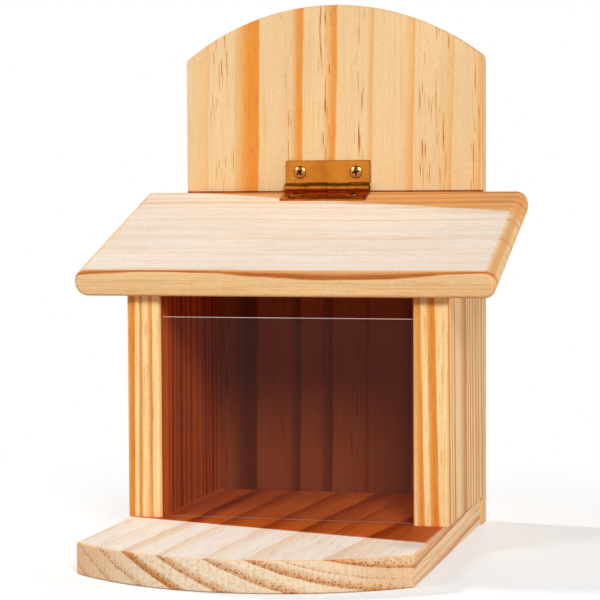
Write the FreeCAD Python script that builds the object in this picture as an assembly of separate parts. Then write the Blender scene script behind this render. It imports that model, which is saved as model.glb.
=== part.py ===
"""Squirrel feeder box: a back board with an arched top, two side boards on a base board that runs forward
as a bowed tray, a sloped lid on one brass butt hinge, and a clear window that slides in two grooves.

+X is to the right of someone who faces the box, +Y goes from the tray to the back board, and +Z is up.
The origin is at the centre of the box's footprint, on the surface that it stands on.
All sizes are in millimetres, and all angles in degrees."""

import FreeCAD, Part
import math
import os

# Boards: the base board is narrower than the body by its inset on each side
body_width = 140.0
side_thickness = 15.0
side_depth = 91.0
side_edge_radius = 1.5
base_inset = 1.2
base_thickness = 13.0
base_length = 160.0
base_bow = 27.0
back_thickness = 11.0
shoulder_height = 214.0
arch_rise = 24.5
shoulder_radius = 3.0
board_edge_radius = 0.8

# Lid: its height is where its top face would meet the back board
lid_overhang = 21.0
lid_length = 105.0
lid_thickness = 12.0
lid_slope = 18.4
lid_height = 152.9
lid_end_radius = 5.5
lid_edge_radius = 1.6
lid_rear_gap = 0.8
lid_seat_gap = 0.2

# Window and its grooves
window_thickness = 1.5
window_edge_chamfer = 0.3
window_setback = 4.0
window_top_gap = 12.0
window_floor_gap = 0.2
groove_depth = 5.0
groove_clearance = 0.25

# Hinge: a leaf is as wide as it reaches from the pin's axis
hinge_length = 40.0
hinge_shift = -2.0
leaf_width = 12.5
leaf_thickness = 1.0
leaf_corner_radius = 0.8
leaf_edge_chamfer = 0.2
pin_radius = 1.0
pin_clearance = 0.05
pin_end_length = 0.3
knuckle_wall = 1.0
knuckle_count = 4
knuckle_gap = 0.2
knuckle_wood_gap = 0.3

# Screws: a head is as long as its radius is larger than the shank's, a cone of 90 degrees
screw_clearance = 0.05
tip_share = 1.6
hinge_screw_radius = 1.5
hinge_screw_head_radius = 3.0
hinge_screw_dome = 0.7
hinge_screw_length = 9.0
hinge_screw_spacing = 26.6
hinge_screw_reach = 7.0
hinge_screw_turns = (38.0, 15.0, 62.0, 5.0)
board_screw_radius = 1.75
board_screw_head_radius = 3.5
board_screw_length = 34.0
board_screw_sink = 0.3
board_screw_turn_step = 29.0
side_screw_rear_inset = 30.0
side_screw_lower_inset = 20.0
base_screw_spacing = 70.0
recess_share = 0.55
recess_width_share = 0.13
recess_depth_share = 0.4

# Hanger plate in the rear of the back board, with a keyhole for a screw in a wall or a tree. Its centre lies
# below the shoulders by its drop
hanger_drop = 18.0
hanger_width = 46.0
hanger_plate_height = 24.0
hanger_thickness = 1.2
hanger_corner_radius = 3.0
hanger_recess_clearance = 0.2
keyhole_radius = 4.0
keyhole_slot_width = 4.4
keyhole_rise = 8.0
pocket_radius = 4.8
pocket_depth = 4.8
hanger_screw_spacing = 34.0
hanger_screw_radius = 1.4
hanger_screw_head_radius = 2.6
hanger_screw_length = 7.5
hanger_screw_turns = (20.0, 75.0)

# How far a cutting shape runs past what it cuts, how near a point on a plane must lie to it,
# and how near to parallel a parallel edge must be, as a share of its length
overcut = 1.0
tolerance = 0.001
parallel_share = 1e-6

# Planes and points that several pieces share
slope = math.radians(lid_slope)
lid_width = body_width + 2.0 * lid_overhang
rear_y = (base_length + base_bow + back_thickness) / 2.0
back_face_y = rear_y - back_thickness
side_front_y = back_face_y - side_depth
tray_corner_y = back_face_y - base_length
knuckle_radius = pin_radius + pin_clearance + knuckle_wall
leaf_offset = knuckle_radius + knuckle_wood_gap
axis_y = back_face_y - leaf_offset
axis_z = lid_height + leaf_offset * (1.0 - math.sin(slope)) / math.cos(slope)
window_front_y = side_front_y + window_setback
hanger_height = shoulder_height - hanger_drop
upward = FreeCAD.Vector(0, 0, 1)
rearward = FreeCAD.Vector(0, 1, 0)
lid_forward = FreeCAD.Vector(0, -math.cos(slope), -math.sin(slope))
lid_upward = FreeCAD.Vector(0, -math.sin(slope), math.cos(slope))


def lid_top_z(y):
    """Height of the plane of the lid's top face at the depth y."""
    return lid_height - (back_face_y - y) * math.tan(slope)


def lid_underside_z(y):
    """Height of the plane of the lid's lower face at the depth y."""
    return lid_top_z(y) - lid_thickness / math.cos(slope)


def prism(points, along):
    """Solid swept by the closed outline through the points, as far as the vector along."""
    outline = Part.makePolygon(points + points[:1])
    return Part.Face(outline).extrude(along)


def box(low, high):
    """Box between two opposite corners, each given as (x, y, z)."""
    size = [b - a for a, b in zip(low, high)]
    return Part.makeBox(size[0], size[1], size[2], FreeCAD.Vector(*low))


def edges_along(shape, direction):
    """Straight edges of the shape that run along the direction, either way."""
    found = []
    for edge in shape.Edges:
        run = edge.Vertexes[-1].Point - edge.Vertexes[0].Point
        if run.Length > 0 and run.cross(direction).Length < parallel_share * run.Length:
            found.append(edge)
    return found


def edges_of_face_towards(shape, direction):
    """Edges round the flat face of the shape that lies furthest along the direction."""
    flat = [face for face in shape.Faces if isinstance(face.Surface, Part.Plane)]
    return max(flat, key=lambda face: face.CenterOfMass.dot(direction)).OuterWire.Edges


def placed(shape, position, outward):
    """Copy of a shape made about the Z axis, moved to the position with +Z turned to the vector outward."""
    copy = shape.copy()
    copy.Placement = FreeCAD.Placement(position, FreeCAD.Rotation(upward, outward))
    return copy


def revolved(profile):
    """Solid of revolution about Z from a list of (radius, height) points that starts and ends on the axis."""
    points = [FreeCAD.Vector(radius, 0, height) for radius, height in profile]
    outline = Part.makePolygon(points + points[:1])
    return Part.Face(outline).revolve(FreeCAD.Vector(0, 0, 0), upward, 360)


def wood_screw(radius, head_radius, length, dome, turn):
    """Countersunk screw that points down from the height 0, with a cross recess turned about its axis."""
    cone = head_radius - radius
    tip = tip_share * radius
    profile = [(0, 0), (head_radius, 0), (radius, -cone), (radius, tip - length), (0, -length)]
    screw = revolved(profile)
    if dome > 0:
        sphere_radius = (head_radius ** 2 + dome ** 2) / (2.0 * dome)
        cap = Part.makeSphere(sphere_radius, FreeCAD.Vector(0, 0, dome - sphere_radius))
        cap = cap.common(Part.makeCylinder(head_radius, dome))
        screw = screw.fuse(cap).removeSplitter()
    arm = recess_share * head_radius
    half = recess_width_share * head_radius
    depth = recess_depth_share * head_radius
    across = box((-arm, -half, dome - depth), (arm, half, dome))
    along = box((-half, -arm, dome - depth), (half, arm, dome))
    cross = across.fuse(along)
    cross.rotate(FreeCAD.Vector(0, 0, 0), upward, turn)
    return screw.cut(cross)


def screw_hole(radius, head_radius, length, opening):
    """Space for such a screw with its clearance all round, open above the head for the length opening."""
    grow = screw_clearance
    cone = head_radius - radius
    profile = [(0, opening), (head_radius + grow, opening), (head_radius + grow, 0)]
    profile += [(radius + grow, -cone), (radius + grow, -length - grow), (0, -length - grow)]
    return revolved(profile)


def screw_set(places, outward, radius, head_radius, length, dome, turns):
    """Compound of like screws at the places, and the compound of their holes."""
    screws = []
    holes = []
    for place, turn in zip(places, turns):
        screws.append(placed(wood_screw(radius, head_radius, length, dome, turn), place, outward))
        holes.append(placed(screw_hole(radius, head_radius, length, length), place, outward))
    return Part.makeCompound(screws), Part.makeCompound(holes)


def board_screw_set(places, outward):
    """Screws that join two boards, with their flat heads sunk a little below the face at the places."""
    sunk = [place - outward * board_screw_sink for place in places]
    turns = [board_screw_turn_step * number for number in range(len(places))]
    size = (board_screw_radius, board_screw_head_radius, board_screw_length, 0.0)
    return screw_set(sunk, outward, *size, turns)


def make_back_board():
    """Upright board with a flat arch between its two shoulders, and all its edges eased."""
    half = body_width / 2.0
    left, right = [FreeCAD.Vector(x, back_face_y, shoulder_height) for x in (-half, half)]
    low_left, low_right = [FreeCAD.Vector(x, back_face_y, 0) for x in (-half, half)]
    top = FreeCAD.Vector(0, back_face_y, shoulder_height + arch_rise)
    corners = [left, low_left, low_right, right]
    sides = [Part.makeLine(start, end) for start, end in zip(corners, corners[1:])]
    outline = Part.Wire(sides + [Part.Arc(right, top, left).toShape()])
    board = Part.Face(outline).extrude(rearward * back_thickness)
    shoulders = [edge for edge in edges_along(board, rearward) if edge.CenterOfMass.z > shoulder_height / 2.0]
    board = board.makeFillet(shoulder_radius, shoulders)
    outlines = edges_of_face_towards(board, rearward) + edges_of_face_towards(board, -rearward)
    return board.makeFillet(board_edge_radius, outlines)


def make_base_board():
    """Level board in front of the back board, with a bowed front edge and all its edges eased."""
    half = body_width / 2.0 - base_inset
    rear_left = FreeCAD.Vector(-half, back_face_y, 0)
    rear_right = FreeCAD.Vector(half, back_face_y, 0)
    front_left = FreeCAD.Vector(-half, tray_corner_y, 0)
    front_right = FreeCAD.Vector(half, tray_corner_y, 0)
    front = FreeCAD.Vector(0, tray_corner_y - base_bow, 0)
    sides = [Part.makeLine(front_left, rear_left), Part.makeLine(rear_left, rear_right)]
    sides += [Part.makeLine(rear_right, front_right), Part.Arc(front_right, front, front_left).toShape()]
    board = Part.Face(Part.Wire(sides)).extrude(upward * base_thickness)
    front_corners = [edge for edge in edges_along(board, upward) if edge.CenterOfMass.y < side_front_y]
    board = board.makeFillet(board_edge_radius, front_corners)
    eased = edges_of_face_towards(board, upward) + edges_of_face_towards(board, -upward)
    eased = [edge for edge in eased if edge.CenterOfMass.y < back_face_y - tolerance]
    return board.makeFillet(board_edge_radius, eased)


def make_side_board(side):
    """Side board on the base board, cut to the lid's slope, with the window's groove in its inner face.
    The side is -1 for the left board and 1 for the right one."""
    inner_x = side * (body_width / 2.0 - side_thickness)
    seat = lid_seat_gap / math.cos(slope)
    points = [
        FreeCAD.Vector(inner_x, side_front_y, base_thickness),
        FreeCAD.Vector(inner_x, back_face_y, base_thickness),
        FreeCAD.Vector(inner_x, back_face_y, lid_underside_z(back_face_y) - seat),
        FreeCAD.Vector(inner_x, side_front_y, lid_underside_z(side_front_y) - seat),
    ]
    board = prism(points, FreeCAD.Vector(side * side_thickness, 0, 0))
    front = [edge for edge in edges_along(board, upward) if edge.CenterOfMass.y < side_front_y + tolerance]
    board = board.makeFillet(side_edge_radius, front)
    groove_x = sorted([inner_x - side * overcut, inner_x + side * groove_depth])
    low = (groove_x[0], window_front_y - groove_clearance, 0)
    high = (groove_x[1], window_front_y + window_thickness + groove_clearance, lid_height)
    return board.cut(box(low, high))


def make_lid():
    """Sloping board with rounded ends, its rear edge cut upright to lie along the back board."""
    left = -lid_width / 2.0
    rear = back_face_y - lid_rear_gap
    top_rear = FreeCAD.Vector(left, rear, lid_top_z(rear))
    top_front = top_rear + lid_forward * lid_length
    low_front = top_front - lid_upward * lid_thickness
    low_rear = FreeCAD.Vector(left, rear, lid_underside_z(rear))
    board = prism([top_rear, top_front, low_front, low_rear], FreeCAD.Vector(lid_width, 0, 0))
    board = board.makeFillet(lid_end_radius, edges_along(board, lid_forward))
    board = board.makeFillet(lid_edge_radius, edges_of_face_towards(board, lid_forward))
    return board.makeFillet(board_edge_radius, edges_of_face_towards(board, rearward))


def make_window():
    """Clear sheet between the floors of the two grooves, from the base board to the gap under the lid,
    with its upper edge eased."""
    half = body_width / 2.0 - side_thickness + groove_depth - groove_clearance
    bottom = base_thickness + window_floor_gap
    low = (-half, window_front_y, bottom)
    high = (half, window_front_y + window_thickness, lid_underside_z(window_front_y) - window_top_gap)
    sheet = box(low, high)
    return sheet.makeChamfer(window_edge_chamfer, edges_of_face_towards(sheet, upward))


def make_hinge_leaf(first_knuckle, wood_side):
    """Hinge leaf about the X axis with every second knuckle, and its plate running along +Y.
    The plate's face on the wood looks to -Z or +Z, as the sign wood_side says."""
    pitch = hinge_length / knuckle_count
    face_z = wood_side * leaf_offset
    plate_z = sorted([face_z, face_z - wood_side * leaf_thickness])
    leaf = box((0, 0, plate_z[0]), (hinge_length, leaf_width, plate_z[1]))
    corners = [edge for edge in edges_along(leaf, upward) if edge.CenterOfMass.y > leaf_width / 2.0]
    leaf = leaf.makeFillet(leaf_corner_radius, corners)
    shown = edges_of_face_towards(leaf, upward * -wood_side)
    shown = [edge for edge in shown if edge.CenterOfMass.y > tolerance]
    leaf = leaf.makeChamfer(leaf_edge_chamfer, shown)
    axis = FreeCAD.Vector(1, 0, 0)
    for number in range(knuckle_count):
        start = number * pitch
        if number % 2 == first_knuckle:
            place = FreeCAD.Vector(start + knuckle_gap / 2.0, 0, 0)
            leaf = leaf.fuse(Part.makeCylinder(knuckle_radius, pitch - knuckle_gap, place, axis))
        else:
            reach = knuckle_radius + knuckle_wood_gap
            low = (start - knuckle_gap / 2.0, -reach, -2.0 * reach)
            high = (start + pitch + knuckle_gap / 2.0, reach, 2.0 * reach)
            leaf = leaf.cut(box(low, high))
    bore_start = FreeCAD.Vector(-overcut, 0, 0)
    bore = Part.makeCylinder(pin_radius + pin_clearance, hinge_length + 2.0 * overcut, bore_start, axis)
    return leaf.cut(bore).removeSplitter()


def hinge_placement(turn):
    """Placement that turns a leaf about the pin's axis by the angle and moves it to its place."""
    corner = FreeCAD.Vector(hinge_shift - hinge_length / 2.0, axis_y, axis_z)
    return FreeCAD.Placement(corner, FreeCAD.Rotation(FreeCAD.Vector(1, 0, 0), turn))


def make_pin():
    """Hinge pin, with a little of each end showing beyond the outer knuckles."""
    start = FreeCAD.Vector(hinge_shift - hinge_length / 2.0 - pin_end_length, axis_y, axis_z)
    pin = Part.makeCylinder(pin_radius, hinge_length + 2.0 * pin_end_length, start, FreeCAD.Vector(1, 0, 0))
    rims = [edge for edge in pin.Edges if isinstance(edge.Curve, Part.Circle)]
    return pin.makeChamfer(pin_end_length / 2.0, rims)


def stadium(radius, rise, depth):
    """Slot with round ends that stands on the depth axis: the ends' centres are the rise apart in Z."""
    lower = Part.makeCylinder(radius, depth, FreeCAD.Vector(0, 0, -rise / 2.0), rearward)
    upper = Part.makeCylinder(radius, depth, FreeCAD.Vector(0, 0, rise / 2.0), rearward)
    middle = box((-radius, 0, -rise / 2.0), (radius, depth, rise / 2.0))
    return lower.fuse([upper, middle]).removeSplitter()


def plate_outline(grow):
    """Hanger plate without its holes, larger by the length grow on every side of its outline."""
    half_width = hanger_width / 2.0 + grow
    half_height = hanger_plate_height / 2.0 + grow
    plate = box((-half_width, 0, -half_height), (half_width, hanger_thickness, half_height))
    return plate.makeFillet(hanger_corner_radius, edges_along(plate, rearward))


def make_hanger_plate():
    """Plate with a keyhole: the round hole passes a screw's head and the slot above it holds the shank."""
    plate = plate_outline(0.0)
    round_hole = Part.makeCylinder(
        keyhole_radius, hanger_thickness, FreeCAD.Vector(0, 0, -keyhole_rise / 2.0), rearward
    )
    slot = stadium(keyhole_slot_width / 2.0, keyhole_rise, hanger_thickness)
    plate = plate.cut(round_hole).cut(slot)
    plate.translate(FreeCAD.Vector(0, rear_y - hanger_thickness, hanger_height))
    return plate


def hanger_recess():
    """Space for the hanger plate in the back board, with a deeper pocket for a screw's head behind it."""
    plate_space = plate_outline(hanger_recess_clearance)
    pocket = stadium(pocket_radius, keyhole_rise, pocket_depth + hanger_thickness)
    pocket.translate(FreeCAD.Vector(0, -pocket_depth, 0))
    space = plate_space.fuse(pocket)
    space.translate(FreeCAD.Vector(0, rear_y - hanger_thickness, hanger_height))
    return space


def hinge_screw_places(along, surface):
    """The two screws' places on a leaf's shown face: along runs over it, and surface looks out of it."""
    centre = FreeCAD.Vector(hinge_shift, axis_y, axis_z) + along * hinge_screw_reach
    centre = centre - surface * (leaf_offset - leaf_thickness)
    offset = FreeCAD.Vector(hinge_screw_spacing / 2.0, 0, 0)
    return [centre - offset, centre + offset]


hinge_size = (hinge_screw_radius, hinge_screw_head_radius, hinge_screw_length, hinge_screw_dome)
back_places = hinge_screw_places(upward, -rearward)
lid_places = hinge_screw_places(lid_forward, lid_upward)
hinge_screws_back, back_leaf_holes = screw_set(back_places, -rearward, *hinge_size, hinge_screw_turns[:2])
hinge_screws_lid, lid_leaf_holes = screw_set(lid_places, lid_upward, *hinge_size, hinge_screw_turns[2:])

side_centre_x = (body_width - side_thickness) / 2.0
side_top_z = lid_underside_z(back_face_y)
rear_heights = (base_thickness + side_screw_rear_inset, side_top_z - side_screw_rear_inset)
lower_depths = (side_front_y + side_screw_lower_inset, back_face_y - side_screw_lower_inset)
side_x = (-side_centre_x, side_centre_x)
rear_side_places = [FreeCAD.Vector(x, rear_y, z) for x in side_x for z in rear_heights]
lower_side_places = [FreeCAD.Vector(x, y, 0) for x in side_x for y in lower_depths]
base_x = (-base_screw_spacing / 2.0, base_screw_spacing / 2.0)
rear_base_places = [FreeCAD.Vector(x, rear_y, base_thickness / 2.0) for x in base_x]
side_screws_rear, side_rear_holes = board_screw_set(rear_side_places, rearward)
base_screws_rear, base_rear_holes = board_screw_set(rear_base_places, rearward)
side_screws_below, side_lower_holes = board_screw_set(lower_side_places, -upward)

hanger_x = (-hanger_screw_spacing / 2.0, hanger_screw_spacing / 2.0)
hanger_places = [FreeCAD.Vector(x, rear_y, hanger_height) for x in hanger_x]
hanger_size = (hanger_screw_radius, hanger_screw_head_radius, hanger_screw_length, 0.0)
hanger_screws, hanger_holes = screw_set(hanger_places, rearward, *hanger_size, hanger_screw_turns)

back_leaf = make_hinge_leaf(0, -1)
back_leaf.Placement = hinge_placement(90.0)
lid_leaf = make_hinge_leaf(1, 1)
lid_leaf.Placement = hinge_placement(180.0 + lid_slope)

back_cuts = [hanger_recess(), back_leaf_holes, side_rear_holes, base_rear_holes, hanger_holes]
nodes = {
    "back_board": make_back_board().cut(back_cuts),
    "base_board": make_base_board().cut([base_rear_holes, side_lower_holes]),
    "left_side_board": make_side_board(-1).cut([side_rear_holes, side_lower_holes]),
    "right_side_board": make_side_board(1).cut([side_rear_holes, side_lower_holes]),
    "lid": make_lid().cut(lid_leaf_holes),
    "window": make_window(),
    "hinge_leaf_back": back_leaf.cut(back_leaf_holes),
    "hinge_leaf_lid": lid_leaf.cut(lid_leaf_holes),
    "hinge_pin": make_pin(),
    "hinge_screws_back": hinge_screws_back,
    "hinge_screws_lid": hinge_screws_lid,
    "side_screws_rear": side_screws_rear,
    "base_screws_rear": base_screws_rear,
    "side_screws_below": side_screws_below,
    "hanger_plate": make_hanger_plate().cut(hanger_holes),
    "hanger_screws": hanger_screws,
}

os.makedirs("parts", exist_ok=True)
for name, shape in nodes.items():
    shape.exportStep(os.path.join("parts", name + ".step"))
    state = "valid" if shape.isValid() else "BAD"
    print(name, len(shape.Solids), "solids", round(shape.Volume, 1), "cubic mm", state)
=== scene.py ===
from dataclasses import dataclass
from functools import reduce
import math
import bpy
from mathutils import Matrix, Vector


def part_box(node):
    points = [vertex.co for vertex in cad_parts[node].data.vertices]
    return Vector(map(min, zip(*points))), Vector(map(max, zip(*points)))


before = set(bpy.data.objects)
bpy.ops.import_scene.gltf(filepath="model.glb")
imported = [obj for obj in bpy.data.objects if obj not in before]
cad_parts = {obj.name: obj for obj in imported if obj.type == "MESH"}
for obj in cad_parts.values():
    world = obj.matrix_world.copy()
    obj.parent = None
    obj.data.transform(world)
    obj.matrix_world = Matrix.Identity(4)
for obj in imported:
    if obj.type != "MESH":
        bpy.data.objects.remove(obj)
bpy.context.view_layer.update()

from types import SimpleNamespace

import bpy
import numpy as np
from mathutils import Matrix, Vector

bl_info = {
    "name": "Squirrel Feeder Box",
    "version": (1, 0, 0),
    "blender": (4, 5, 0),
    "location": "3D View > Sidebar > Feeder",
    "description": "Finishes for a small pine feeder box with a hinged lid and a clear window",
    "category": "Object",
}

MM = 0.001
LID_SLOPE = math.radians(18.4)

# Sizes of the marks in the wood in millimetres: across the grain both ways, then along it
FIBRES = (0.5, 0.5, 24.0)
SPECKLES = (0.5, 0.5, 1.8)
CLOUDS = (40.0, 40.0, 90.0)
FINE_LINES = (1.6, 1.6, 120.0)
STREAKS = (0.7, 0.7, 17.0)
VEINS = (0.3, 0.3, 9.0)
SLOW_WAVES = (60.0, 60.0, 170.0)
MIDDLE_WAVES = (7.0, 7.0, 45.0)
FINE_WAVES = (1.1, 1.1, 16.0)
PORES_PER_MM = 0.85

# Sizes of other marks along X, Y and Z: saw marks in millimetres, and the rest in metres
SAW_MARKS = (0.5, 0.5, 12.0)
SCRATCHES = (0.007, 0.00025, 0.00025)
TARNISH = (0.008, 0.008, 0.008)
CRYSTALS_PER_METRE = 900.0
WIPE_MARKS = (0.016, 0.016, 0.002)
PAPER_GRAIN = (0.011, 0.011, 0.011)

# The range that holds most of what a noise gives
NOISE_RANGE = (0.3, 0.7)

# Rise of a hinge screw's domed head
HEAD_RISE = 0.7 * MM

# How far the edge of a space of painted shade fades out, in millimetres
SOFT_EDGE = 2.0

# Lamps as name, place, size and whether metal mirrors them, in metres and all turned to the aim. The
# camera's angles are how far it is turned to the right, up and about its own axis, in degrees
AIM = Vector((0.0, 0.0, 0.1))
LAMPS = (
    ("key", (-1.0, 0.275, 0.72), 0.06, False), ("left", (-0.72, -0.86, 0.75), 0.34, True),
    ("front", (0.48, -1.02, 0.75), 0.34, True), ("right", (1.28, -0.11, 0.28), 0.3, False),
    ("rear", (0.0, 1.27, 0.36), 0.5, False)
)
CAMERA_PLACE = Vector((0.22145, -0.87115, 0.15225))
CAMERA_ANGLES = (-13.887, -2.892, -0.274)


def srgb(red, green, blue):
    """Scene colour of a screen colour whose three parts run from 0 to 255."""
    parts = [value / 255.0 for value in (red, green, blue)]
    return tuple(part / 12.92 if part <= 0.04045 else ((part + 0.055) / 1.055) ** 2.4 for part in parts)


def tone(name, description, value):
    """Colour property with a default."""
    return bpy.props.FloatVectorProperty(
        name=name, description=description, default=value, size=3, subtype="COLOR", min=0.0, max=1.0
    )


def share(name, description, value):
    """Property from 0 to 1 with a default."""
    return bpy.props.FloatProperty(
        name=name, description=description, default=value, min=0.0, max=1.0, subtype="FACTOR"
    )


def lamp_level(name, description, value):
    """Property for a lamp's level, with a default."""
    return bpy.props.FloatProperty(name=name, description=description, default=value, min=0.0, max=4.0)


class PineSettings(bpy.types.PropertyGroup):
    """Colours and surface of the bare planed pine. Each kind of face has its pale wood and its rings."""

    back_pale: tone("Back board", "Wood between the rings of the back board", srgb(238, 203, 153))
    back_dark: tone("Back board, ring", "Dark side of the back board's rings", srgb(234, 146, 54))
    # Painted light: the upper faces of the lid and the tray take paler, less orange copies of the wood's
    # tones, which stand in for the strong light on them, not for bleaching
    top_pale: tone("Lid top", "Bleached upper face of the lid", srgb(243, 230, 215))
    top_dark: tone("Lid top, ring", "Rings on the bleached lid", srgb(234, 190, 146))
    tray_pale: tone("Tray", "Bleached upper face of the tray", srgb(247, 236, 224))
    tray_dark: tone("Tray, ring", "Rings on the bleached tray", srgb(241, 211, 180))
    edge_pale: tone("Lid edges", "Wood of the lid's front edge and ends", srgb(255, 213, 157))
    edge_dark: tone("Lid edges, ring", "Rings on the lid's front edge and ends", srgb(196, 108, 42))
    # Painted shadow and shade: the back board's shadow on the lid's top as a strip, and the lid's lower face
    strip_pale: tone("Lid, sheltered", "Lid beside the back board, and underneath", srgb(250, 186, 116))
    strip_dark: tone("Lid, sheltered, ring", "Rings in that wood", srgb(222, 138, 72))
    base_pale: tone("Base front", "Wood of the base board's front", srgb(255, 232, 200))
    base_dark: tone("Base front, ring", "Rings on the base board's front", srgb(212, 140, 80))
    flank_pale: tone("Base sides", "Wood of the base board's sides", srgb(255, 219, 174))
    flank_dark: tone("Base sides, ring", "Rings on the base board's sides", srgb(210, 130, 66))
    side_pale: tone("Side fronts", "Wood of the side boards' front edges", srgb(255, 221, 162))
    side_dark: tone("Side fronts, ring", "Rings on the side boards' front edges", srgb(232, 142, 54))
    outer_pale: tone("Side faces", "Wood of the side boards' wide faces", srgb(255, 216, 158))
    outer_dark: tone("Side faces, ring", "Rings on the side boards' wide faces", srgb(198, 114, 50))
    # Painted shade and shadow: darker, more orange tones for the wood inside the box and for the shadow on
    # the tray, not unbleached wood
    shade_pale: tone("Sheltered wood", "Unbleached wood inside the box and beside it", srgb(214, 104, 36))
    shade_dark: tone("Sheltered wood, ring", "Rings in the sheltered wood", srgb(150, 56, 14))
    # Painted shade: a dark tone for the back board inside the box and for a painted shadow line above the lid
    rear_pale: tone("Hopper rear", "Wood of the back board inside the box", srgb(150, 72, 32))
    rear_dark: tone("Hopper rear, ring", "Rings in that wood", srgb(100, 38, 12))
    pore: tone("Pore", "Dots of resin on the end grain", srgb(150, 66, 14))
    roughness: share("Roughness", "Roughness of the planed wood", 0.6)
    relief: bpy.props.FloatProperty(
        name="Fibre relief", description="How deep the fibres stand in the surface", default=0.05 * MM,
        min=0.0, max=1.0 * MM, unit="LENGTH", precision=5
    )


class MetalSettings(bpy.types.PropertyGroup):
    """Colours and surface of the hinge, the screws and the hanger plate."""

    brass: tone("Hinge", "Satin brass plating of the hinge", srgb(214, 130, 44))
    screw: tone("Hinge screws", "Bright brass plating of the hinge screws", srgb(188, 122, 70))
    zinc: tone("Board screws and hanger", "Zinc plating", srgb(196, 198, 200))
    roughness: share("Roughness", "Roughness of the brass plating", 0.22)


class SheetSettings(bpy.types.PropertyGroup):
    """Look of the clear window."""

    tint: tone("Sheet", "Colour that the clear sheet adds", srgb(120, 108, 104))
    film: share("Film", "How much of that colour shows on each of its faces", 0.03)
    cut: tone("Cut edge", "Colour of the sheet's eased and cut edges", srgb(236, 226, 220))
    cut_share: share("Cut edge cover", "How much of that colour shows on the edges", 0.5)


class StageSettings(bpy.types.PropertyGroup):
    """Floor, lamps and camera. A lamp of level 1 shows a white card that faces it as white."""

    key: lamp_level("Key lamp", "Level of the small lamp at the left, a little behind the box", 0.62)
    left: lamp_level("Front left lamp", "Level of the wide lamp at the front left", 0.33)
    front: lamp_level("Front right lamp", "Level of the wide lamp at the front right", 0.61)
    right: lamp_level("Right lamp", "Level of the lamp at the right", 0.4)
    rear: lamp_level("Rear lamp", "Level of the lamp behind the box", 0.6)
    ambient: share("Ambient", "Strength of the light from all round", 0.06)
    lens: bpy.props.FloatProperty(
        name="Lens", description="Focal length of the camera on a sensor 36 mm wide", default=127.585,
        min=1.0, unit="CAMERA"
    )


def add(tree, kind, inputs=None, **settings):
    """New shader node of a kind with its settings. An input is given a value, or the output that feeds it."""
    made = tree.nodes.new("ShaderNode" + kind)
    for key, value in settings.items():
        setattr(made, key, value)
    for key, value in (inputs or {}).items():
        if isinstance(value, bpy.types.NodeSocket):
            tree.links.new(value, made.inputs[key])
        else:
            made.inputs[key].default_value = value
    return made


def maths(tree, operation, first, second=0.0, clamp=False):
    """Output of a Math node."""
    return add(tree, "Math", {0: first, 1: second}, operation=operation, use_clamp=clamp).outputs[0]


def product(tree, *factors):
    """All the factors multiplied."""
    return reduce(lambda first, second: maths(tree, "MULTIPLY", first, second), factors)


def largest(tree, *values):
    """The largest of the values."""
    return reduce(lambda first, second: maths(tree, "MAXIMUM", first, second), values)


def inverse(tree, value):
    """1 less the value."""
    return maths(tree, "SUBTRACT", 1.0, value)


def vector(tree, operation, first, second=(0.0, 0.0, 0.0), output=0):
    """Output of a Vector Math node: 0 is its vector, and 1 is its value."""
    return add(tree, "VectorMath", {0: first, 1: second}, operation=operation).outputs[output]


def scaled(tree, value, factor):
    """A vector times a factor."""
    return add(tree, "VectorMath", {0: value, "Scale": factor}, operation="SCALE").outputs[0]


def parts_of(tree, value):
    """The X, Y and Z parts of a vector."""
    return add(tree, "SeparateXYZ", {0: value}).outputs


def remap(tree, value, low, high, to_low=0.0, to_high=1.0, smooth=True):
    """The value taken from one range to another and kept inside it, with soft ends if smooth."""
    kind = "SMOOTHSTEP" if smooth else "LINEAR"
    made = add(tree, "MapRange", {0: value, 1: low, 2: high, 3: to_low, 4: to_high}, interpolation_type=kind)
    return made.outputs[0]


def blend(tree, amount, first, second, mode="MIX"):
    """Colour that goes from the first to the second as the amount goes from 0 to 1."""
    made = add(tree, "Mix", data_type="RGBA", blend_type=mode)
    for key, value in ((0, amount), (6, first), (7, second)):
        if isinstance(value, bpy.types.NodeSocket):
            tree.links.new(value, made.inputs[key])
        else:
            made.inputs[key].default_value = value if isinstance(value, float) else (*value, 1.0)
    return made.outputs[2]


def dyed(tree, amount, first, second):
    """Colour that goes from the first to the second by even steps to the eye, so its middle isn't milky."""
    curved = [add(tree, "Gamma", {0: colour, 1: 1.0 / 2.2}).outputs[0] for colour in (first, second)]
    return add(tree, "Gamma", {0: blend(tree, amount, *curved), 1: 2.2}).outputs[0]


def dimmed(tree, colour, level, warmth=0.0):
    """The colour times the level. With warmth, green falls more than red does, and blue more than green."""
    parts = [maths(tree, "POWER", level, 1.0 + warmth * number) for number in range(3)]
    grey = add(tree, "CombineColor", dict(enumerate(parts))).outputs[0]
    return blend(tree, 1.0, colour, grey, "MULTIPLY")


def new_material(name):
    """New material with one Principled node: the material, its tree and that node."""
    material = bpy.data.materials.new(name)
    material.use_nodes = True
    tree = material.node_tree
    tree.nodes.clear()
    shader = add(tree, "BsdfPrincipled")
    add(tree, "OutputMaterial", {"Surface": shader.outputs[0]})
    return material, tree, shader


def surface(tree, shader, colour, rough, height, strength, depth):
    """Feed a Principled node its colour, its roughness and the relief of a height from 0 to 1."""
    bump = add(tree, "Bump", {"Strength": strength, "Distance": depth, "Height": height})
    tree.links.new(colour, shader.inputs["Base Color"])
    tree.links.new(rough, shader.inputs["Roughness"])
    tree.links.new(bump.outputs[0], shader.inputs["Normal"])


def noise(tree, where, size, detail=2.0, roughness=0.5):
    """Noise from 0 to 1 whose grains have the size (x, y, z), in the unit of the places where."""
    scale = tuple(1.0 / length for length in size)
    place = add(tree, "Mapping", {0: where, 3: scale}).outputs[0]
    made = add(tree, "TexNoise", {"Vector": place, "Scale": 1.0, "Detail": detail, "Roughness": roughness})
    return made.outputs[0]


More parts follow.
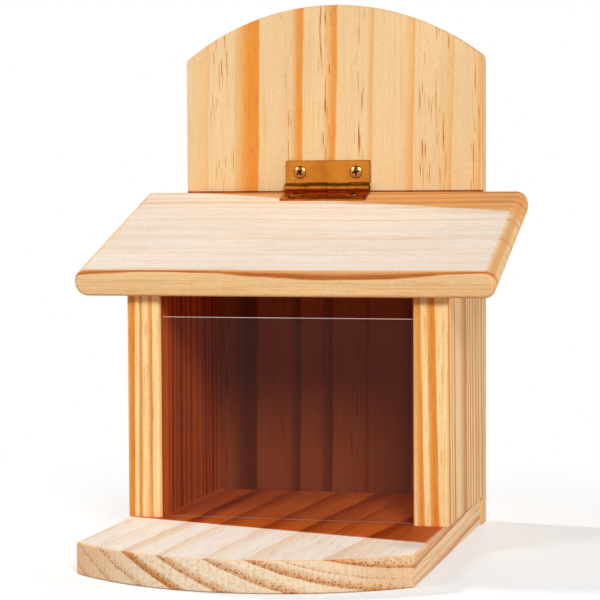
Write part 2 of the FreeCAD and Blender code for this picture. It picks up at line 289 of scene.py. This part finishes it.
@dataclass
class Cut:
    """How a board lies in the tree that it was sawn from, in millimetres. Across the grain a place has two
    coordinates: those of X, Y and Z that are left without the grain's own axis.

    grain is the axis of the fibres, as 0, 1 or 2. pith is the centre of the growth rings across the grain.
    rings lists each ring as (radius of its sharp outer edge, width of the slow rise, width of the dark part
    after it, strength). The list starts again after the radius repeat, if that isn't 0.
    waves are the swings of slow, middle and fine waves in the rings. lean is how far the rings move across
    the grain for each millimetre along it, from the place level on. face is the axis that the wide face looks
    along, and tilt turns that axis about X. lines is the strength of the fine dark lines between the rings.
    streaks is the strength of the dark resin streaks, and columns lists the radii (from, to) between which
    they lie, or is empty if they lie anywhere. sway is the swing and the length of one long even wave in the
    rings, and where along the grain it starts. painted_shade lists the spaces where shade and shadow are
    painted into the wood, each as planes (direction, limit, soft): a place is inside where its share along
    each direction is under the limit, and the edge fades out over the distance soft beyond that."""

    grain: int
    pith: tuple
    rings: tuple
    face: int
    repeat: float = 0.0
    waves: tuple = (3.0, 0.8, 0.3)
    lean: tuple = (0.0, 0.0)
    level: float = 0.0
    tilt: float = 0.0
    lines: float = 0.25
    streaks: float = 0.5
    columns: tuple = ()
    sway: tuple = (0.0, 1.0, 0.0)
    painted_shade: tuple = ()


def under(axis, limit, soft=SOFT_EDGE):
    """Plane that keeps what lies under the limit along X, Y or Z, which is axis 0, 1 or 2."""
    return tuple(float(number == axis) for number in range(3)), limit, soft


def over(axis, limit, soft=SOFT_EDGE):
    """Plane that keeps what lies over the limit along X, Y or Z, which is axis 0, 1 or 2."""
    return tuple(-float(number == axis) for number in range(3)), -limit, soft


def ramp(tree, value, stops):
    """Colour ramp over the value from stops of (place, brightness), both its ends at 0. The places are taken
    to the range from 0 to 1 that a ramp has."""
    start, end = stops[0][0] - 0.5, stops[-1][0] + 0.5
    inside = add(tree, "MapRange", {0: value, 1: start, 2: end})
    made = add(tree, "ValToRGB", {0: inside.outputs[0]})
    elements = made.color_ramp.elements
    for element in elements:
        element.color = (0.0, 0.0, 0.0, 1.0)
    for place, brightness in stops:
        elements.new((place - start) / (end - start)).color = (brightness, brightness, brightness, 1.0)
    return made.outputs[0]


def ring_darkness(tree, distance, rings):
    """Darkness of the growth rings at the distance from the pith: the wood darkens slowly, then stays dark up
    to the ring's sharp outer edge. A ramp is drawn in 256 steps, so each ramp holds only a few rings."""
    edge_width, rise_share, full_share, rings_each = 0.15, 0.6, 0.6, 6
    total = 0.0
    for first in range(0, len(rings), rings_each):
        stops = []
        for edge, rise, dark, strength in rings[first:first + rings_each]:
            if rise > 0:
                stops.append((edge - dark - rise, 0.0))
            stops.append((edge - dark, rise_share * strength if rise > 0 else 0.0))
            stops += [(edge - full_share * dark, strength), (edge, strength), (edge + edge_width, 0.0)]
        total = maths(tree, "ADD", ramp(tree, distance, stops), total, clamp=True)
    return total


def painted_shaded(tree, place, spaces):
    """1 inside the spaces of painted shade and 0 outside, with soft edges."""
    total = 0.0
    for planes in spaces:
        inside = 1.0
        for direction, limit, soft in planes:
            reach = vector(tree, "DOT_PRODUCT", place, direction, output=1)
            inside = product(tree, remap(tree, reach, limit + soft, limit), inside)
        total = largest(tree, inside, total)
    return total


def grain_places(tree, place, cut):
    """Places with the two coordinates across the grain first and the one along it last, and the same places
    moved by the lean."""
    across = [axis for axis in (0, 1, 2) if axis != cut.grain]
    parts = parts_of(tree, place)
    ordered = {number: parts[axis] for number, axis in enumerate((*across, cut.grain))}
    places = add(tree, "CombineXYZ", ordered).outputs[0]
    along = maths(tree, "SUBTRACT", parts[cut.grain], cut.level)
    return places, vector(tree, "ADD", places, scaled(tree, (*cut.lean, 0.0), along))


def ring_distance(tree, places, leaned, cut):
    """Distance from the pith, bent by slow, middle and fine waves and by the even sway."""
    offset = vector(tree, "SUBTRACT", leaned, (*cut.pith, 0.0))
    distance = vector(tree, "LENGTH", vector(tree, "MULTIPLY", offset, (1.0, 1.0, 0.0)), output=1)
    kinds = ((SLOW_WAVES, 1.0), (MIDDLE_WAVES, 2.0), (FINE_WAVES, 1.0))
    for (size, detail), swing in zip(kinds, cut.waves):
        wave = maths(tree, "SUBTRACT", noise(tree, places, size, detail), 0.5)
        distance = maths(tree, "ADD", distance, product(tree, wave, swing))
    swing, length, start = cut.sway
    along = maths(tree, "SUBTRACT", parts_of(tree, places)[2], start)
    even = maths(tree, "SINE", product(tree, along, 2 * math.pi / length))
    return maths(tree, "ADD", distance, product(tree, even, swing))


def face_masks(tree, normal, cut):
    """How much a place belongs to the end grain and to the wide face, from 0 to 1, and how far an eased edge
    is worn there."""
    turned = add(tree, "Mapping", {0: normal, 2: (-cut.tilt, 0.0, 0.0)}).outputs[0]
    upward = parts_of(tree, turned)[2]
    sides = parts_of(tree, vector(tree, "ABSOLUTE", turned))
    end = remap(tree, sides[cut.grain], 0.35, 0.9)
    # On the lid and the tray the wide face is the upper face, and its paler tone there is painted light
    wide = remap(tree, upward if cut.face == 2 else sides[cut.face], 0.94, 0.999)
    worn = remap(tree, largest(tree, *sides), 0.98, 0.8, 0.0, 0.35)
    return end, wide, worn


def ringed(tree, places, fibres, dark, worn, lines, tones):
    """Colour of the rings, of fine lines between them and of worn edges, from the first to the second of the
    tones. Fibres, speckles and clouds make it uneven."""
    late = maths(tree, "MULTIPLY", dark, remap(tree, fibres, 0.3, 0.6, 0.78, 1.08, False), clamp=True)
    fine = remap(tree, noise(tree, places, FINE_LINES, 3.0, 0.7), 0.48, 0.72, 0.0, lines)
    depth = largest(tree, maths(tree, "ADD", late, fine, clamp=True), worn)
    by_fibre = remap(tree, fibres, 0.28, 0.72, 0.94, 1.03, False)
    by_cloud = remap(tree, noise(tree, places, CLOUDS), *NOISE_RANGE, 0.96, 1.02)
    by_speckle = remap(tree, noise(tree, places, SPECKLES, 1.0), *NOISE_RANGE, 0.955, 1.035, False)
    return dimmed(tree, dyed(tree, depth, *tones), product(tree, by_fibre, by_cloud, by_speckle), 0.5)


def streaked(tree, colour, places, distance, dark, long_grain, cut):
    """The colour with dark resin streaks along the grain, in the cut's columns if it has any, and with thin
    veins in the rings."""
    most, warmth, column_edge = 0.4, 1.6, 1.0
    threads = remap(tree, noise(tree, places, STREAKS, 1.0, 0.6), 0.6, 0.72)
    if cut.columns:
        stops = []
        for low, high in cut.columns:
            stops += [(low - column_edge, 0.0), (low, 1.0), (high, 1.0), (high + column_edge, 0.0)]
        threads = product(tree, threads, ramp(tree, distance, stops))
    veins = remap(tree, noise(tree, places, VEINS, 1.0), 0.58, 0.7, 0.0, 0.35)
    marks = largest(tree, product(tree, threads, cut.streaks), product(tree, veins, dark))
    return dimmed(tree, colour, inverse(tree, product(tree, marks, long_grain, most)), warmth)


def pore_dots(tree, places, dark):
    """1 in the pores and 0 between them. They are round, a little more than half of the cells have one, and
    nearly all of them lie in the rings."""
    cells = add(tree, "Mapping", {0: places, 3: (PORES_PER_MM, PORES_PER_MM, 1.0)}).outputs[0]
    pores = add(tree, "TexVoronoi", {"Vector": cells, "Scale": 1.0}, voronoi_dimensions="2D").outputs
    chance = add(tree, "SeparateColor", {0: pores["Color"]}).outputs[1]
    dot = remap(tree, pores["Distance"], 0.4, 0.2)
    return product(tree, dot, remap(tree, chance, 0.35, 0.45), remap(tree, dark, 0.08, 0.5, 0.02, 0.9))


def make_pine(name, settings, cut, edge, end, face, painted_shade):
    """Planed pine as a solid wood: rings round the pith, fibres and resin streaks along the grain, and pores
    and saw marks on the end grain. The last four name the tones in the settings of the narrow faces along
    the grain, of the end grain, of the wide face and of the spaces of painted shade."""
    pore_cover, ring_relief, ring_polish, rough_swing, sheen = 0.85, 0.5, 0.08, 0.07, 0.16
    material, tree, shader = new_material(name)
    coordinates = add(tree, "TexCoord").outputs
    place = scaled(tree, coordinates["Object"], 1.0 / MM)
    places, leaned = grain_places(tree, place, cut)
    fibres = noise(tree, places, FIBRES, 3.0, 0.65)
    distance = ring_distance(tree, places, leaned, cut)
    turns = maths(tree, "MODULO", distance, cut.repeat) if cut.repeat else distance
    dark = ring_darkness(tree, turns, cut.rings)
    on_end, on_face, worn = face_masks(tree, coordinates["Normal"], cut)
    long_grain = inverse(tree, on_end)
    # Painted shade: inside these spaces the wood takes darker, more orange tones that stand in for shade and
    # shadow
    shade = painted_shaded(tree, place, cut.painted_shade)

    tones = []
    for depth in ("_pale", "_dark"):
        mixed = tuple(getattr(settings, edge + depth))
        for mask, kind in ((on_end, end), (on_face, face), (shade, painted_shade)):
            mixed = blend(tree, mask, mixed, tuple(getattr(settings, kind + depth)))
        tones.append(mixed)
    colour = ringed(tree, places, fibres, dark, worn, cut.lines, tones)
    colour = streaked(tree, colour, places, distance, dark, long_grain, cut)
    dots = product(tree, pore_dots(tree, places, dark), on_end)
    saw = noise(tree, place, SAW_MARKS)
    sawn = product(tree, remap(tree, saw, *NOISE_RANGE, 0.9, 1.04, False), on_end)
    colour = dimmed(tree, colour, maths(tree, "ADD", sawn, long_grain), 0.3)
    colour = blend(tree, product(tree, dots, pore_cover), colour, tuple(settings.pore))

    height = maths(tree, "ADD", product(tree, fibres, long_grain), product(tree, saw, on_end))
    height = maths(tree, "ADD", height, product(tree, dark, ring_relief))
    height = maths(tree, "SUBTRACT", height, dots)
    most, least = settings.roughness + rough_swing, settings.roughness - rough_swing
    rough = remap(tree, fibres, 0.2, 0.8, most, least, False)
    rough = maths(tree, "SUBTRACT", rough, product(tree, dark, ring_polish))
    surface(tree, shader, colour, rough, height, strength=0.6, depth=settings.relief)
    shader.inputs["Specular IOR Level"].default_value = sheen
    return material


def make_brass(name, colour, roughness, head=None):
    """Plated brass with fine scratches along X and slow tarnish. For a screw, head is the direction out of
    its head and how far the head's top lies that way: painted shade darkens its recess and the foot of its
    dome. A piece without a head is dull on the faces cut across X instead."""
    dulling = 0.4
    material, tree, shader = new_material(name)
    coordinates = add(tree, "TexCoord").outputs
    place = coordinates["Object"]
    scratches = noise(tree, place, SCRATCHES, 3.0)
    tarnish = remap(tree, noise(tree, place, TARNISH, 3.0), 0.35, 0.7, 1.0, 0.8)
    if head:
        outward, top = head
        depth = maths(tree, "SUBTRACT", top, vector(tree, "DOT_PRODUCT", place, outward, output=1))
        # Painted shade: the recess and the foot of the dome are darkened and dulled
        undimmed = remap(tree, depth, HEAD_RISE, 0.7 * HEAD_RISE, 0.06, 1.0)
    else:
        sideways = maths(tree, "ABSOLUTE", parts_of(tree, coordinates["Normal"])[0])
        undimmed = remap(tree, sideways, 0.9, 0.4, 0.25, 1.0)
    rough = remap(tree, scratches, *NOISE_RANGE, roughness - 0.06, roughness + 0.1, False)
    rough = maths(tree, "ADD", rough, product(tree, inverse(tree, undimmed), dulling))
    shine = dimmed(tree, tuple(colour), product(tree, tarnish, undimmed), 0.4)
    surface(tree, shader, shine, rough, scratches, strength=0.25, depth=0.02 * MM)
    shader.inputs["Metallic"].default_value = 1.0
    return material


def make_zinc(name, colour):
    """Zinc plating with its mottled crystals."""
    material, tree, shader = new_material(name)
    place = add(tree, "TexCoord").outputs["Object"]
    crystals = add(tree, "TexVoronoi", {"Vector": place, "Scale": CRYSTALS_PER_METRE})
    level = add(tree, "SeparateColor", {0: crystals.outputs["Color"]}).outputs[0]
    shine = dimmed(tree, tuple(colour), remap(tree, level, 0.0, 1.0, 1.0, 0.85, False))
    rough = remap(tree, level, 0.0, 1.0, 0.3, 0.46, False)
    surface(tree, shader, shine, rough, level, strength=0.2, depth=0.01 * MM)
    shader.inputs["Metallic"].default_value = 1.0
    return material


def make_sheet(name, settings):
    """Clear sheet: nearly nothing on its two faces, bright where it was cut or eased, faint wipe marks."""
    film_swing, acrylic = 0.02, 1.49
    material, tree, shader = new_material(name)
    coordinates = add(tree, "TexCoord").outputs
    facing = maths(tree, "ABSOLUTE", parts_of(tree, coordinates["Normal"])[1])
    cut = remap(tree, facing, 0.95, 0.8)
    marks = noise(tree, coordinates["Object"], WIPE_MARKS, 4.0)
    film = remap(tree, marks, 0.5, 0.8, settings.film, settings.film + film_swing)
    cover = add(tree, "Mix", {0: cut, 2: film, 3: settings.cut_share}, data_type="FLOAT").outputs[0]
    tree.links.new(blend(tree, cut, tuple(settings.tint), tuple(settings.cut)), shader.inputs["Base Color"])
    tree.links.new(cover, shader.inputs["Alpha"])
    tree.links.new(remap(tree, marks, 0.4, 0.8, 0.04, 0.12), shader.inputs["Roughness"])
    shader.inputs["IOR"].default_value = acrylic
    return material


def finish(node, material):
    """Give a carried-over node one material on all its faces."""
    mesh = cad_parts[node].data
    mesh.materials.clear()
    mesh.materials.append(material)


def hopper():
    """The space inside the box in millimetres: half its width, its front, its rear, its floor and its roof,
    which is as high as the side boards reach."""
    left, back, base = (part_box(node) for node in ("left_side_board", "back_board", "base_board"))
    return SimpleNamespace(
        half=-left[1].x / MM, front=left[0].y / MM, rear=back[0].y / MM, floor=base[1].z / MM,
        roof=left[1].z / MM
    )


class FEEDER_OT_back_board(bpy.types.Operator):
    """Upright grain with a few wide orange rings and short resin streaks"""

    bl_idname = "feeder.back_board"
    bl_label = "Back board"

    def execute(self, context):
        room = hopper()
        pith = (-140.0, 330.0)

        def radius(x):
            """Distance from the pith of a place on the front face."""
            return math.hypot(x - pith[0], room.rear - pith[1])

        # Rings on the front face as X of the sharp edge, rise, dark part and strength, and columns as X
        bands = (
            (-59.0, 9.0, 0.0, 0.3), (-34.8, 4.5, 8.0, 1.0), (-13.5, 2.5, 3.0, 0.85), (2.0, 3.0, 3.0, 0.85),
            (19.0, 2.0, 0.7, 0.5), (38.5, 4.5, 0.7, 0.6), (56.5, 5.0, 1.0, 0.3), (69.5, 2.0, 1.0, 0.5)
        )
        columns = ((-57.0, -48.0), (-22.5, -20.0), (-5.0, -1.5), (10.0, 14.5), (41.0, 54.0), (66.0, 69.0))
        rings = tuple(
            (radius(x), radius(x - dark) - radius(x - dark - rise), radius(x) - radius(x - dark), strength)
            for x, rise, dark, strength in bands
        )
        # Painted shade in the space inside the box, whose tone fades out under the lid, and a thin painted
        # shadow line just above the lid's rear edge
        front_face, fade, line_width = under(1, room.rear + 1.0), 22.0, 2.0
        inside = (under(0, room.half), over(0, -room.half), front_face, under(2, room.roof - 20.0, fade))
        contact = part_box("lid")[1].z / MM
        painted_shadow_line = (front_face, under(2, contact + 0.5, 0.5), over(2, contact - line_width, 1.0))
        cut = Cut(
            grain=2, pith=pith, rings=rings, face=1, waves=(1.6, 0.7, 0.25), lean=(-0.014, 0.0), level=190.0,
            lines=0.2, streaks=0.9, columns=tuple((radius(low), radius(high)) for low, high in columns),
            painted_shade=(inside, painted_shadow_line)
        )
        pine = make_pine("pine_back", context.scene.feeder_pine, cut, "back", "back", "back", "rear")
        finish("back_board", pine)
        return {"FINISHED"}


class FEEDER_OT_base_board(bpy.types.Operator):
    """Grain from front to back, so that the bowed front shows the rings as slanting bands"""

    bl_idname = "feeder.base_board"
    bl_label = "Base board"

    def execute(self, context):
        room = hopper()
        rings = (
            (223.5, 3.0, 1.0, 0.5), (229.5, 4.0, 1.2, 0.9), (234.1, 1.5, 0.8, 0.35), (238.6, 3.0, 1.5, 0.75),
            (245.2, 2.5, 1.5, 0.65), (254.2, 2.5, 1.5, 0.7), (262.2, 1.5, 2.2, 1.0), (269.3, 2.5, 1.5, 0.45),
            (276.2, 3.0, 1.0, 0.45), (283.0, 3.0, 1.0, 0.5)
        )
        # Painted shadow on the tray and painted shade on the floor inside. Its front edge comes forward by
        # the slant for each millimetre to the right, as the lamp's shadow edge does
        half, slant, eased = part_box("base_board")[1].x / MM, 0.3, 1.5
        painted_tray_shadow = (
            ((-slant, -1.0, 0.0), slant * half - room.front, SOFT_EDGE), over(2, room.floor - 0.8),
            under(0, half - eased), over(0, eased - half)
        )
        cut = Cut(
            grain=1, pith=(94.4, 235.8), rings=rings, face=2, waves=(1.0, 0.8, 0.4), lean=(0.0, -0.0275),
            level=-72.0, lines=0.35, streaks=0.25, painted_shade=(painted_tray_shadow,)
        )
        # The tray tone is the paler copy of painted light on the upper face
        pine = make_pine("pine_base", context.scene.feeder_pine, cut, "flank", "base", "tray", "shade")
        finish("base_board", pine)
        return {"FINISHED"}


class FEEDER_OT_side_boards(bpy.types.Operator):
    """Upright grain with close rings, which are stripes on the front edges and on the wide faces"""

    bl_idname = "feeder.side_boards"
    bl_label = "Side boards"

    def execute(self, context):
        room = hopper()
        half = room.half + 0.5
        # The inner faces inside the box get painted shade
        common = dict(
            grain=2, face=0, waves=(1.2, 0.9, 0.4), streaks=0.3,
            painted_shade=((under(0, half), over(0, -half), over(1, room.front + 2.5)),)
        )
        left = Cut(
            pith=(-520.0, -238.0), repeat=26.0, lines=0.4,
            rings=(
                (2.6, 0.0, 1.2, 0.6), (6.9, 0.0, 1.0, 0.7), (10.0, 0.6, 1.5, 0.9), (12.4, 0.0, 1.0, 0.8),
                (16.5, 0.8, 2.0, 1.0), (19.5, 0.4, 1.0, 0.85), (23.6, 1.0, 1.2, 0.7)
            ),
            **common
        )
        right = Cut(
            pith=(-400.0, -215.0), lean=(0.021, 0.0), level=60.0, lines=0.45,
            rings=(
                (498.5, 1.0, 1.0, 0.6), (501.5, 0.5, 0.8, 0.7), (505.8, 1.0, 2.4, 0.85),
                (511.2, 0.6, 2.8, 1.0), (517.3, 1.0, 0.9, 0.9), (520.0, 0.0, 0.8, 0.9),
                (523.0, 0.4, 0.9, 0.9), (536.6, 4.0, 4.5, 0.7), (538.9, 0.0, 0.8, 1.0),
                (541.8, 0.5, 0.8, 0.8), (545.3, 0.6, 0.8, 0.9), (550.2, 2.0, 1.5, 0.65),
                (553.3, 0.5, 1.0, 0.9), (558.5, 2.0, 1.0, 0.7), (563.0, 1.5, 1.0, 0.6)
            ),
            **common
        )
        for side, cut in (("left", left), ("right", right)):
            tones = ("side", "side", "outer", "shade")
            finish(side + "_side_board", make_pine("pine_" + side, context.scene.feeder_pine, cut, *tones))
        return {"FINISHED"}


class FEEDER_OT_lid(bpy.types.Operator):
    """Grain from side to side, pale on top, with a ring that wanders along the front edge"""

    bl_idname = "feeder.lid"
    bl_label = "Lid"

    def execute(self, context):
        rear = hopper().rear
        half, slant = -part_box("left_side_board")[0].x / MM, 0.17
        tan_slope = math.tan(LID_SLOPE)
        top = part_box("lid")[1].z / MM - rear * tan_slope
        pith = (290.0, 410.0)
        # Rings on the upper face as Y of the sharp edge, rise, dark part and strength
        bands = (
            (84.0, 3.0, 1.5, 0.9), (77.0, 3.0, 1.0, 0.6), (71.0, 3.0, 1.5, 0.8), (65.0, 3.0, 1.0, 0.45),
            (57.0, 5.0, 0.8, 0.3), (49.0, 3.0, 0.6, 0.5), (36.0, 6.0, 0.5, 0.25), (26.0, 5.0, 0.7, 0.4),
            (13.0, 4.0, 0.6, 0.3), (7.0, 3.0, 0.5, 0.3), (-2.0, 2.0, 0.5, 0.2), (-12.8, 2.4, 0.9, 1.0),
            (-19.5, 3.0, 0.6, 0.35)
        )
        rings = tuple(
            (math.hypot(y - pith[0], top + y * tan_slope - pith[1]), rise, dark, strength)
            for y, rise, dark, strength in bands
        )
        # Two depths below the upper face: how far the painted shadow strip's tone goes down, and the lower
        # face
        strip_depth, lower_face = 6.0, 12.2
        # Painted shadow of the back board on the lid, widening to the right by the slant, and painted shade
        # below
        painted_back_shadow = (
            ((-slant, -1.0, 0.0), slant * half - rear, SOFT_EDGE),
            ((0.0, tan_slope, -1.0), strip_depth - top, SOFT_EDGE)
        )
        below = (((0.0, -tan_slope, 1.0), top - lower_face, SOFT_EDGE),)
        cut = Cut(
            grain=0, pith=pith, rings=rings, face=2, tilt=LID_SLOPE, waves=(0.8, 0.9, 0.4), lines=0.25,
            streaks=0.2, sway=(0.75, 150.0, 60.0), painted_shade=(painted_back_shadow, below)
        )
        # Painted light on the upper face through the top tone, painted shadow and shade through the strip
        # tone
        finish("lid", make_pine("pine_lid", context.scene.feeder_pine, cut, "edge", "edge", "top", "strip"))
        return {"FINISHED"}


class FEEDER_OT_window(bpy.types.Operator):
    """Clear sheet with bright cut edges"""

    bl_idname = "feeder.window"
    bl_label = "Window"

    def execute(self, context):
        finish("window", make_sheet("clear_sheet", context.scene.feeder_sheet))
        return {"FINISHED"}


class FEEDER_OT_hinge(bpy.types.Operator):
    """Satin brass for the hinge's two leaves and its pin"""

    bl_idname = "feeder.hinge"
    bl_label = "Hinge"

    def execute(self, context):
        settings = context.scene.feeder_metal
        material = make_brass("hinge_brass", settings.brass, settings.roughness)
        for node in ("hinge_leaf_back", "hinge_leaf_lid", "hinge_pin"):
            finish(node, material)
        return {"FINISHED"}


class FEEDER_OT_hinge_screws(bpy.types.Operator):
    """Bright brass for the four screws that hold the hinge"""

    bl_idname = "feeder.hinge_screws"
    bl_label = "Hinge screws"

    def execute(self, context):
        settings = context.scene.feeder_metal
        faces = {
            "hinge_screws_back": (0.0, -1.0, 0.0),
            "hinge_screws_lid": (0.0, -math.sin(LID_SLOPE), math.cos(LID_SLOPE)),
        }
        for node, outward in faces.items():
            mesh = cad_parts[node].data
            places = np.empty(len(mesh.vertices) * 3)
            mesh.vertices.foreach_get("co", places)
            top = float((places.reshape(-1, 3) @ np.array(outward)).max())
            finish(node, make_brass(node + "_brass", settings.screw, settings.roughness, (outward, top)))
        return {"FINISHED"}


class FEEDER_OT_rear_metal(bpy.types.Operator):
    """Zinc plating for the board screws, the hanger plate and its screws"""

    bl_idname = "feeder.rear_metal"
    bl_label = "Board screws and hanger"

    def execute(self, context):
        material = make_zinc("zinc_plating", context.scene.feeder_metal.zinc)
        screws = ("side_screws_rear", "base_screws_rear", "side_screws_below", "hanger_screws")
        for node in (*screws, "hanger_plate"):
            finish(node, material)
        return {"FINISHED"}


def make_floor(reach, rise, bend):
    """Floor with a backdrop that bends up behind it: a profile of a flat run, a quarter circle of radius bend
    and an upright run, carried along X. Points run along the profile in the first direction and along X in
    the second."""
    angles = np.linspace(0.0, math.pi / 2, 24)
    flat = np.stack([np.linspace(-reach, reach - bend, 12), np.zeros(12)], axis=1)
    curve = np.stack([reach - bend + bend * np.sin(angles), bend - bend * np.cos(angles)], axis=1)
    upright = np.stack([np.full(6, reach), np.linspace(bend, rise, 6)], axis=1)
    profile = np.concatenate([flat, curve[1:], upright[1:]])
    across = np.linspace(-reach, reach, 9)
    points = np.empty((len(profile), len(across), 3))
    points[:, :, 0] = across[None, :]
    points[:, :, 1] = profile[:, None, 0]
    points[:, :, 2] = profile[:, None, 1]
    rows, columns = points.shape[:2]
    corner = np.arange(rows * columns).reshape(rows, columns)
    faces = np.stack([corner[:-1, :-1], corner[:-1, 1:], corner[1:, 1:], corner[1:, :-1]], axis=-1)
    mesh = bpy.data.meshes.new("floor")
    mesh.from_pydata(points.reshape(-1, 3).tolist(), [], faces.reshape(-1, 4).tolist())
    mesh.shade_smooth()
    floor = bpy.data.objects.new("floor", mesh)
    bpy.context.scene.collection.objects.link(floor)
    return floor


def make_floor_paint(name):
    """Matt paper. To the camera and in reflections it is white with soft shadows near the box, and plain
    white further off. To the light that it throws back on the box it is grey, so that it doesn't fill the
    shadows."""
    white, grey = (1.0, 1.0, 1.0), (0.4, 0.4, 0.4)
    near, far, near_glow, far_glow = 0.12, 0.36, 0.35, 1.0
    material, tree, shader = new_material(name)
    place = add(tree, "TexCoord").outputs["Object"]
    rays = add(tree, "LightPath").outputs
    seen = largest(tree, rays["Is Camera Ray"], rays["Is Glossy Ray"], rays["Is Transmission Ray"])
    distance = vector(tree, "LENGTH", place, output=1)
    glowing = product(tree, remap(tree, distance, near, far, near_glow, far_glow), seen)
    grain = remap(tree, noise(tree, place, PAPER_GRAIN, 3.0), *NOISE_RANGE, 0.94, 0.97, False)
    tree.links.new(blend(tree, seen, grey, dimmed(tree, white, grain)), shader.inputs["Base Color"])
    shader.inputs["Roughness"].default_value = 0.9
    shader.inputs["Specular IOR Level"].default_value = 0.1
    glow = add(tree, "Emission", {"Color": (*white, 1.0), "Strength": 1.0})
    both = add(tree, "MixShader", {0: glowing, 1: shader.outputs[0], 2: glow.outputs[0]})
    output = next(node for node in tree.nodes if node.type == "OUTPUT_MATERIAL")
    tree.links.new(both.outputs[0], output.inputs["Surface"])
    return material


def make_world(ambient):
    """Even light from all round, and white to the camera. In reflections it is white up to a little over the
    horizon, and no brighter than the even light high above it."""
    world = bpy.data.worlds.new("studio")
    world.use_nodes = True
    tree = world.node_tree
    tree.nodes.clear()
    rays = add(tree, "LightPath").outputs
    height = parts_of(tree, add(tree, "TexCoord").outputs["Generated"])[2]
    mirrored = product(tree, rays["Is Glossy Ray"], remap(tree, height, 0.1, 0.4, 1.0, ambient))
    strength = largest(tree, rays["Is Camera Ray"], rays["Is Transmission Ray"], mirrored, ambient)
    sky = add(tree, "Background", {"Color": (1.0, 1.0, 1.0, 1.0), "Strength": strength})
    add(tree, "OutputWorld", {"Surface": sky.outputs[0]})
    return world


def make_lamp(name, place, size, level, mirrored):
    """Square area lamp at a place, turned to the box. A lamp of power P lights a card that faces it at the
    distance d with P / (pi d d), and a white card looks white under pi, so level 1 takes pi pi d d. A lamp
    that isn't mirrored leaves no glare on metal."""
    away = Vector(place) - AIM
    data = bpy.data.lights.new(name, "AREA")
    data.size = size
    data.energy = level * (math.pi * away.length) ** 2
    lamp = bpy.data.objects.new(name, data)
    lamp.location = place
    lamp.rotation_euler = (-away).to_track_quat("-Z", "Y").to_euler()
    lamp.visible_glossy = mirrored
    bpy.context.scene.collection.objects.link(lamp)


def make_camera(place, yaw, pitch, roll, lens):
    """Camera at a place. It looks along +Y, turned to the right by yaw, up by pitch and about its axis by
    roll, all in radians."""
    ahead = Vector((math.sin(yaw) * math.cos(pitch), math.cos(yaw) * math.cos(pitch), math.sin(pitch)))
    level = Vector((math.cos(yaw), -math.sin(yaw), 0.0))
    above = level.cross(ahead)
    right = math.cos(roll) * level + math.sin(roll) * above
    up = math.cos(roll) * above - math.sin(roll) * level
    data = bpy.data.cameras.new("camera")
    data.lens = lens
    data.sensor_width = 36.0
    data.clip_start = 0.02
    camera = bpy.data.objects.new("camera", data)
    camera.matrix_world = Matrix.Translation(place) @ Matrix((right, up, -ahead)).transposed().to_4x4()
    bpy.context.scene.collection.objects.link(camera)
    bpy.context.scene.camera = camera


class FEEDER_OT_stage(bpy.types.Operator):
    """Pale floor and backdrop, soft studio lamps and the camera"""

    bl_idname = "feeder.stage"
    bl_label = "Floor, lamps and camera"

    def execute(self, context):
        settings = context.scene.feeder_stage
        floor = make_floor(reach=3.0, rise=3.0, bend=1.2)
        floor.data.materials.append(make_floor_paint("floor_paper"))
        for name, place, size, mirrored in LAMPS:
            make_lamp(name + "_lamp", place, size, getattr(settings, name), mirrored)
        context.scene.world = make_world(settings.ambient)
        context.scene.view_settings.view_transform = "Standard"
        make_camera(CAMERA_PLACE, *[math.radians(angle) for angle in CAMERA_ANGLES], settings.lens)
        return {"FINISHED"}


OPERATORS = (
    FEEDER_OT_back_board, FEEDER_OT_base_board, FEEDER_OT_side_boards, FEEDER_OT_lid, FEEDER_OT_window,
    FEEDER_OT_hinge, FEEDER_OT_hinge_screws, FEEDER_OT_rear_metal, FEEDER_OT_stage
)
SETTINGS = {
    "feeder_pine": PineSettings, "feeder_metal": MetalSettings, "feeder_sheet": SheetSettings,
    "feeder_stage": StageSettings
}


class FEEDER_PT_panel(bpy.types.Panel):
    """Lists the feeder's pieces and their settings"""

    bl_idname = "FEEDER_PT_panel"
    bl_label = "Feeder Box"
    bl_space_type = "VIEW_3D"
    bl_region_type = "UI"
    bl_category = "Feeder"

    def draw(self, context):
        for operator in OPERATORS:
            self.layout.operator(operator.bl_idname)
        for name, group in SETTINGS.items():
            box = self.layout.box()
            for key in group.__annotations__:
                box.prop(getattr(context.scene, name), key)


CLASSES = (*SETTINGS.values(), *OPERATORS, FEEDER_PT_panel)


def register():
    for kind in CLASSES:
        bpy.utils.register_class(kind)
    for name, group in SETTINGS.items():
        setattr(bpy.types.Scene, name, bpy.props.PointerProperty(type=group))


def unregister():
    for name in SETTINGS:
        delattr(bpy.types.Scene, name)
    for kind in reversed(CLASSES):
        bpy.utils.unregister_class(kind)


def main():
    register()
    for operator in OPERATORS:
        group, name = operator.bl_idname.split(".")
        getattr(getattr(bpy.ops, group), name)()


if __name__ == "__main__":
    main()
